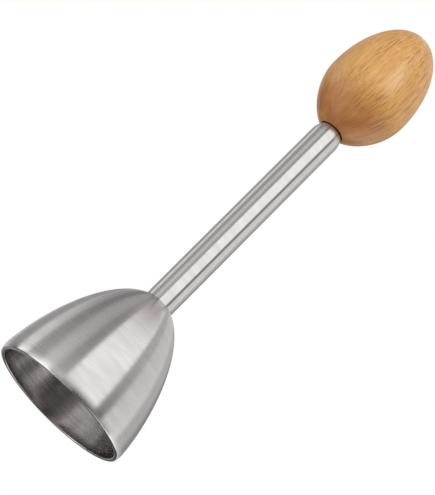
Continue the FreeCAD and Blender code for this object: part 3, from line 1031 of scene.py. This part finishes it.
@dataclass
class Studio:
    """A pale floor, soft lamps, white and black cards all round, and the camera."""

    mouth: tuple[float, float, float] = (-37.25, 36.77, 448.2)  # mm, right, down and away
    lean: float = 19.86  # degrees, of the object's axis away from the camera
    roll: float = 45.01  # degrees, of its axis in the picture
    focal: float = 1917.0  # pixels
    picture_height: float = 495.0  # pixels
    sensor: float = 36.0
    room_level: float = 0.39
    ceiling_level: float = 0.48
    lean_of_cards: float = 0.965  # cosine of the height from which the front looks up
    upper_from: Pair = (22.0, 42.0)  # degrees, over which cards turn to their upper level
    ceiling_from: Pair = (58.0, 78.0)
    lower_from: Pair = (12.0, -3.0)
    below_from: Pair = (-2.0, -12.0)
    below_level: float = 0.05
    floor_radius: float = 0.6  # m
    floor_hole: float = 17.0  # mm, under the mouth of the bell
    floor_shade: str = "#F4F4F2"
    floor_light: str = "#FAFAF9"
    floor_grain: float = 2.5  # mm
    floor_drop: float = 0.05  # mm, so that it touches nothing
    floor_sides: int = 96
    floor_fade: Pair = (0.2, 0.95)  # shares of its radius
    lamp_aim: float = 0.07  # m, height that the lamps shine at
    lamp_reach: float = 0.8  # m from there
    cards: tuple[Card, ...] = (
        Card(-84, 9, 0.66, 1.03, 0.72, 4),
        Card(-63, 5, 0.40, 0.32, 0.22, 3),
        Card(-52, 6, 0.87, 0.33, 2.09, 3),
        Card(-40, 5, 0.43, 0.24, 0.31, 2.5),
        Card(-26, 6, 0.68, 0.43, 1.21, 3),
        Card(-15, 4.5, 0.46, 0.25, 1.37, 1.5),
        Card(5, 15.5, 1.28, 1.21, 0.29, 1.2),
        Card(26, 3.6, 0.24, 0.56, 0.04, 1.3),
        Card(42, 12, 0.89, 0.73, 0.71, 2.5),
        Card(62, 9, 0.52, 0.57, 0.70, 5),
        Card(78, 9, 0.27, 0.10, 1.09, 5),
    )
    below: tuple[Below, ...] = (
        Below(-157.5, 22.5, 0.32),
        Below(-112.5, 22.5, 0.04),
        Below(-67.5, 22.5, 1.65),
        Below(-22.5, 22.5, 0.30),
        Below(22.5, 22.5, 0.04),
        Below(67.5, 22.5, 0.34),
        Below(112.5, 22.5, 1.45),
        Below(157.5, 22.5, 0.04),
    )

    def camera(self) -> None:
        """Set the camera where the photograph was taken from."""
        lean, roll = math.radians(self.lean), math.radians(self.roll)
        axis = Vector((math.cos(lean) * math.cos(roll), -math.cos(lean) * math.sin(roll),
                       math.sin(lean)))
        mouth = Vector(self.mouth) * MM
        away = (mouth - axis * mouth.dot(axis)).normalized()
        turn = Matrix((away.cross(axis), away, axis))
        data = bpy.data.cameras.new("camera")
        data.lens = self.focal / self.picture_height * self.sensor
        data.sensor_width = self.sensor
        camera = stand("camera", data)
        facing = (turn @ Matrix.Diagonal((1, -1, -1))).to_4x4()
        camera.matrix_world = Matrix.Translation(turn @ -mouth) @ facing
        bpy.context.scene.camera = camera

    def world(self) -> None:
        """Hang the cards round the object. The camera sees plain white behind them."""
        world = bpy.data.worlds.new("studio")
        world.use_nodes = True
        bpy.context.scene.world = world
        world.node_tree.nodes.clear()
        add = partial(add_node, world.node_tree)
        way = add("TexCoord").outputs["Generated"]
        parts = add("SeparateXYZ", [way]).outputs
        elevation = add("Math:ARCSINE", [parts["Z"]])
        upper, lower, ceiling, below = (add("MapRange",
                                            [elevation, math.radians(none), math.radians(full)],
                                            interpolation_type="SMOOTHSTEP")
                                        for none, full in (self.upper_from, self.lower_from,
                                                           self.ceiling_from, self.below_from))

        def hung(light: object, turn: bpy.types.Node,
                 panels: list[tuple[float, float, float, object]]) -> object:
            """Hang panels over a light.

            Args:
                light: The light behind them.
                turn: The angle round the object at which each direction lies.
                panels: The angle, half width, soft edge and light of each, in degrees.

            Returns:
                The light with the panels over it.
            """
            for middle, half_width, edge, shade in panels:
                less = add("Math:SUBTRACT", [turn, math.radians(middle)])
                off = add("Math:ABSOLUTE", [less])
                share = add("MapRange",
                            [off, math.radians(half_width + edge), math.radians(half_width - edge)],
                            interpolation_type="SMOOTHSTEP")
                light = add("Mix", [share, light, shade], data_type="RGBA")
            return light

        # The side of the object that mirrors this direction to the front
        depth = add("Math:SUBTRACT", [self.lean_of_cards, parts["Y"]])
        side = add("Math:ARCTAN2", [parts["X"], depth])
        cards = []
        for card in self.cards:
            shade: object = grey(card.level)
            for zone, level in ((upper, card.upper), (lower, card.lower)):
                shade = add("Mix", [zone, shade, grey(level)], data_type="RGBA")
            cards.append((card.side, card.half_width, card.edge, shade))
        light = hung(grey(self.room_level), side, cards)

        away = add("Math:MULTIPLY", [parts["Y"], -1.0])
        azimuth = add("Math:ARCTAN2", [parts["X"], away])
        low = hung(grey(self.below_level), azimuth, [
            (panel.azimuth, panel.half_width, panel.edge, grey(panel.level))
            for panel in self.below])
        for zone, over in ((ceiling, grey(self.ceiling_level)), (below, low)):
            light = add("Mix", [zone, light, over], data_type="RGBA")
        shown = add("Background", {"Color": light, "Strength": 1.0})
        white = add("Background", {"Color": grey(1.0), "Strength": 1.0})
        seen = add("LightPath").outputs["Is Camera Ray"]
        both = add("MixShader", [seen, shown, white])
        add("OutputWorld", {"Surface": both})

    def floor(self) -> None:
        """Lay the floor that the rim stands on.

        The photograph looks up from below the rim, so the floor shows from above only, and it is
        open under the mouth. It fades out into the white round it.
        """
        shell = bmesh.new()
        rims = [bmesh.ops.create_circle(shell, segments=self.floor_sides, radius=radius)["verts"]
                for radius in (self.floor_hole * MM, self.floor_radius)]
        count = len(rims[0])
        for i in range(count):
            k = (i + 1) % count
            shell.faces.new((rims[0][i], rims[1][i], rims[1][k], rims[0][k]))
        bmesh.ops.recalc_face_normals(shell, faces=shell.faces)
        for face in shell.faces:
            if face.normal.z < 0:
                face.normal_flip()
        bmesh.ops.translate(shell, verts=shell.verts, vec=(0, 0, -self.floor_drop * MM))
        mesh = bpy.data.meshes.new("floor")
        shell.to_mesh(mesh)
        shell.free()
        floor = stand("floor", mesh)

        made, add, _ = blank("pale floor")
        made.node_tree.nodes.clear()
        place = add("TexCoord").outputs["Object"]
        out = add("VectorMath:LENGTH", [place])
        fade = add("MapRange",
                   [out, self.floor_radius * self.floor_fade[0],
                    self.floor_radius * self.floor_fade[1]], interpolation_type="SMOOTHSTEP")
        grain = add("TexNoise",
                    {"Vector": place, "Scale": 1 / (self.floor_grain * MM), "Detail": 2.0})
        shade = add("Mix", [grain, linear(self.floor_shade), linear(self.floor_light)],
                    data_type="RGBA")
        paper = add("BsdfDiffuse", {"Color": shade})
        path = add("LightPath").outputs
        clear: object = add("NewGeometry").outputs["Backfacing"]
        for also in (path["Is Glossy Ray"], path["Is Shadow Ray"], fade):
            clear = add("Math:MAXIMUM", [clear, also])
        both = add("MixShader", [clear, paper, add("BsdfTransparent")])
        add("OutputMaterial", {"Surface": both})
        floor.data.materials.append(made)

    def lamp(self, name: str, azimuth: float, elevation: float, size: float, power: float,
             gleams_on: bpy.types.Object | None = None) -> None:
        """Hang a square soft lamp that shines at the middle of the object.

        Args:
            name: Its name.
            azimuth: Degrees from the camera's side towards +X.
            elevation: Degrees above the horizon.
            size: Metres across.
            power: Watts.
            gleams_on: The one piece that it lights and shows in. Without one it lights them all
                and shows in none, because the cards are what the steel mirrors.
        """
        data = bpy.data.lights.new(name, "AREA")
        data.size, data.energy = size, power
        lamp = stand(name, data)
        turn, rise = math.radians(azimuth), math.radians(elevation)
        way = Vector((math.sin(turn) * math.cos(rise), -math.cos(turn) * math.cos(rise),
                      math.sin(rise)))
        lamp.location = Vector((0, 0, self.lamp_aim)) + way * self.lamp_reach
        lamp.rotation_mode = "QUATERNION"
        lamp.rotation_quaternion = way.to_track_quat("Z", "Y")
        lamp.visible_glossy = gleams_on is not None
        if gleams_on is not None:
            lit = bpy.data.collections.new(name)
            lit.objects.link(gleams_on)
            lamp.light_linking.receiver_collection = lit

    def build(self, knob: bpy.types.Object) -> None:
        """Set up the whole studio.

        Args:
            knob: The piece whose lacquer mirrors the key lamp.
        """
        bpy.context.scene.view_settings.view_transform = "Standard"
        self.world()
        self.floor()
        self.lamp("key lamp", azimuth=20, elevation=34, size=0.30, power=1.5, gleams_on=knob)
        self.lamp("fill lamp", azimuth=-55, elevation=30, size=0.6, power=1.0)
        self.camera()


def placed(
    piece: bpy.types.Object, body: Body, node: str
) -> bpy.types.Object:
    """Let a piece stand for a CAD node.

    Args:
        piece: The piece.
        body: The CAD body that it rides on.
        node: The CAD node that it stands for.

    Returns:
        The same piece.
    """
    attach(piece, body.value)
    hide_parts(node)
    log.info("%s: %d faces, for %s", piece.name, len(piece.data.polygons), node)
    return piece


def main() -> None:
    """Build the pieces in order."""
    logging.basicConfig(level=logging.INFO, format="%(message)s")
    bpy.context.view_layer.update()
    bell = Bell()
    tube = HandleTube(foot=bell.crown_top())
    knob = EggKnob(tube_top=tube.foot + tube.length)
    bell.build()
    tube.build()
    egg = knob.build()
    Spring().build()
    InnerWorks().dress()
    Studio().build(egg)


if __name__ == "__main__":
    main()
